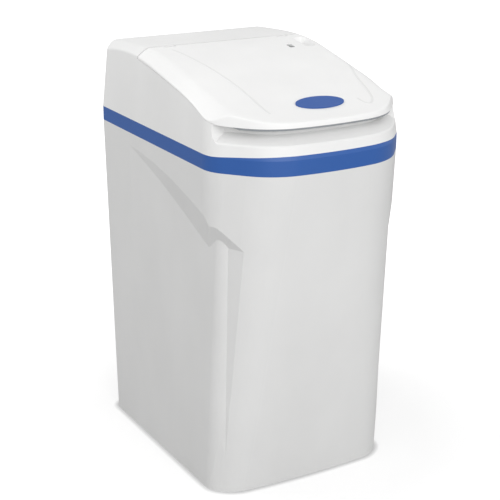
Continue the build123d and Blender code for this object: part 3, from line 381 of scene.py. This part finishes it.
def closed_piece(name, rows, look):
    """Closed piece through rows of points, with its first and last row as its ends."""
    mesh = bpy.data.meshes.new(name)
    form = bmesh.new()
    rings = [[form.verts.new(point) for point in row] for row in rows]
    for low, high in zip(rings, rings[1:]):
        for one in range(len(low)):
            two = (one + 1) % len(low)
            form.faces.new((low[one], low[two], high[two], high[one]))
    form.faces.new(rings[0][::-1])
    form.faces.new(rings[-1])
    bmesh.ops.recalc_face_normals(form, faces=form.faces)
    for face in form.faces:
        face.smooth = True
    form.to_mesh(mesh)
    form.free()
    piece = bpy.data.objects.new(name, mesh)
    bpy.context.collection.objects.link(piece)
    mesh.materials.append(look)
    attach(piece, "lid")


def make_lid_line(name, points):
    """Low crown along a line on the lid, fading out at both ends, in a grey darker than the lid that paints
    shade along the crease.
    """
    run = smooth_run(points)
    last = len(run) - 1
    rows = []
    for step, spot in enumerate(run):
        ahead = run[min(step + 1, last)] - run[max(step - 1, 0)]
        side = Vector((ahead.y, -ahead.x, 0)).normalized()
        full = min(1, FADE_SLOPE_LINE * sin(pi * step / last))
        row = []
        for across, height in LINE_SECTION:
            place = spot - side * across
            row.append(over_lid(place.x, place.y, height * full if height > 0 else height))
        rows.append(row)
    closed_piece(name, rows, LINE_SHADE_LOOK)


def make_status_lens():
    """Small dark lens in the lid, over the salt compartment."""
    corners = []
    for turn, (right, up) in enumerate(((1, 1), (-1, 1), (-1, -1), (1, -1))):
        for step in range(CORNER_STEPS):
            angle = (turn + step / (CORNER_STEPS - 1)) * pi / 2
            corners.append((right, up, cos(angle), sin(angle)))
    rows = []
    for inset, height in LENS_RINGS:
        row = []
        for right, up, along, rise in corners:
            x = LENS_PLACE[0] + right * (LENS_SIZE[0] / 2 - LENS_ROUND) + along * (LENS_ROUND - inset)
            y = LENS_PLACE[1] + up * (LENS_SIZE[1] / 2 - LENS_ROUND) + rise * (LENS_ROUND - inset)
            row.append(over_lid(x, y, height))
        rows.append(row)
    closed_piece("status_lens", rows, LENS_LOOK)


def make_lip_shadow_strip():
    """Dark strip of painted shadow under the lid's front lip, lower in the middle than at its ends."""
    rows = []
    for step in range(LIP_SHADOW_STEPS + 1):
        share = step / LIP_SHADOW_STEPS
        x = LIP_SHADOW_HALF * (2 * share - 1)
        front = lid_surface.ray_cast(Vector((x, -1, LIP_SHADOW_AIM)), Vector((0, 1, 0)))[0].y
        full = min(1, FADE_SLOPE_LIP_SHADOW * sin(pi * share))
        row = []
        for back, drop in LIP_SHADOW_SECTION:
            under = lid_surface.ray_cast(Vector((x, front + back, 0)), Vector((0, 0, 1)))[0].z
            row.append(Vector((x, front + back, under - (drop * full if drop > 0 else drop))))
        rows.append(row)
    closed_piece("lip_shadow_strip", rows, LIP_SHADOW_LOOK)


for name, points in LID_LINES.items():
    make_lid_line(name, points)
make_status_lens()
make_lip_shadow_strip()


# Stage and light

FLOOR_HALF = 8
FLOOR_SHADES = (0.44, 0.46)
FLOOR_PATCH_SCALE = 3
FLOOR_ROUGH = 0.9
FLOOR_GLOW_NEAR = 0.56
FLOOR_FADE_START = 0.32
FLOOR_FADE_END = 1.3
# Reach and depth of the painted contact shadow: ambient occlusion that dims the floor's camera glow near the
# object
CONTACT_SHADOW_REACH = 0.012
CONTACT_SHADOW_DEPTH = 2.2
WORLD_FILL = 0.68
WHITE = (1, 1, 1, 1)
# Name, place, aim, size and power of each lamp
LAMPS = (
    ("key", (-0.6, -3.1, 1.9), (0, 0, 0.4), 3.2, 68),
    ("side", (-1.3, 0.9, 1.6), (0, 0, 0.45), 0.9, 8),
)


def make_floor():
    """Plain pale floor that looks white to the camera and keeps the object's shadow, with a painted contact
    shadow where ambient occlusion near the object dims its glow.
    """
    mesh = bpy.data.meshes.new("floor")
    form = bmesh.new()
    bmesh.ops.create_grid(form, x_segments=1, y_segments=1, size=FLOOR_HALF)
    form.to_mesh(mesh)
    form.free()
    floor = bpy.data.objects.new("floor", mesh)
    bpy.context.collection.objects.link(floor)
    material, tree, shader = new_material("floor_pale")
    low, high = ((grey, grey, grey) for grey in FLOOR_SHADES)
    tint = ramp(tree, noise(tree, FLOOR_PATCH_SCALE, 2), low, high)
    tree.links.new(tint, shader.inputs["Base Color"])
    shader.inputs["Roughness"].default_value = FLOOR_ROUGH
    place = tree.nodes.new("ShaderNodeTexCoord")
    reach = tree.nodes.new("ShaderNodeVectorMath")
    reach.operation = "LENGTH"
    fade = tree.nodes.new("ShaderNodeMapRange")
    fade.inputs["From Min"].default_value = FLOOR_FADE_START
    fade.inputs["From Max"].default_value = FLOOR_FADE_END
    fade.inputs["To Min"].default_value = FLOOR_GLOW_NEAR
    fade.inputs["To Max"].default_value = 1.0
    # Painted contact shadow: ambient occlusion near the object darkens the floor's glow
    painted_contact_shadow = tree.nodes.new("ShaderNodeAmbientOcclusion")
    painted_contact_shadow.inputs["Distance"].default_value = CONTACT_SHADOW_REACH
    deeper = tree.nodes.new("ShaderNodeMath")
    deeper.operation = "POWER"
    deeper.inputs[1].default_value = CONTACT_SHADOW_DEPTH
    shaded = tree.nodes.new("ShaderNodeMath")
    shaded.operation = "MULTIPLY"
    path = tree.nodes.new("ShaderNodeLightPath")
    share = tree.nodes.new("ShaderNodeMath")
    share.operation = "MULTIPLY"
    glow = tree.nodes.new("ShaderNodeEmission")
    both = tree.nodes.new("ShaderNodeAddShader")
    tree.links.new(place.outputs["Object"], reach.inputs[0])
    tree.links.new(reach.outputs["Value"], fade.inputs["Value"])
    tree.links.new(fade.outputs["Result"], shaded.inputs[0])
    tree.links.new(painted_contact_shadow.outputs["AO"], deeper.inputs[0])
    tree.links.new(deeper.outputs["Value"], shaded.inputs[1])
    tree.links.new(shaded.outputs["Value"], share.inputs[0])
    tree.links.new(path.outputs["Is Camera Ray"], share.inputs[1])
    tree.links.new(share.outputs["Value"], glow.inputs["Strength"])
    tree.links.new(shader.outputs["BSDF"], both.inputs[0])
    tree.links.new(glow.outputs["Emission"], both.inputs[1])
    tree.links.new(both.outputs["Shader"], tree.nodes["Material Output"].inputs["Surface"])
    mesh.materials.append(material)


def soft_lamp(name, place, aim, size, power):
    """Square soft lamp at a place, aimed at a point."""
    data = bpy.data.lights.new(name, "AREA")
    data.size = size
    data.energy = power
    lamp = bpy.data.objects.new(name, data)
    bpy.context.collection.objects.link(lamp)
    lamp.location = place
    lamp.rotation_euler = (Vector(aim) - Vector(place)).to_track_quat("-Z", "Y").to_euler()


def make_world():
    """White surroundings for the camera and for reflections, and a plain fill for the rest."""
    world = bpy.data.worlds.new("studio")
    bpy.context.scene.world = world
    world.use_nodes = True
    tree = world.node_tree
    fill = tree.nodes["Background"]
    fill.inputs["Color"].default_value = WHITE
    fill.inputs["Strength"].default_value = WORLD_FILL
    seen = tree.nodes.new("ShaderNodeBackground")
    seen.inputs["Color"].default_value = WHITE
    seen.inputs["Strength"].default_value = 1.0
    mix = tree.nodes.new("ShaderNodeMixShader")
    path = tree.nodes.new("ShaderNodeLightPath")
    both = tree.nodes.new("ShaderNodeMath")
    both.operation = "MAXIMUM"
    tree.links.new(path.outputs["Is Camera Ray"], both.inputs[0])
    tree.links.new(path.outputs["Is Glossy Ray"], both.inputs[1])
    tree.links.new(both.outputs["Value"], mix.inputs["Fac"])
    tree.links.new(fill.outputs["Background"], mix.inputs[1])
    tree.links.new(seen.outputs["Background"], mix.inputs[2])
    tree.links.new(mix.outputs["Shader"], tree.nodes["World Output"].inputs["Surface"])


make_camera()
make_floor()
make_world()
for lamp in LAMPS:
    soft_lamp(*lamp)
bpy.context.scene.view_settings.view_transform = "Standard"
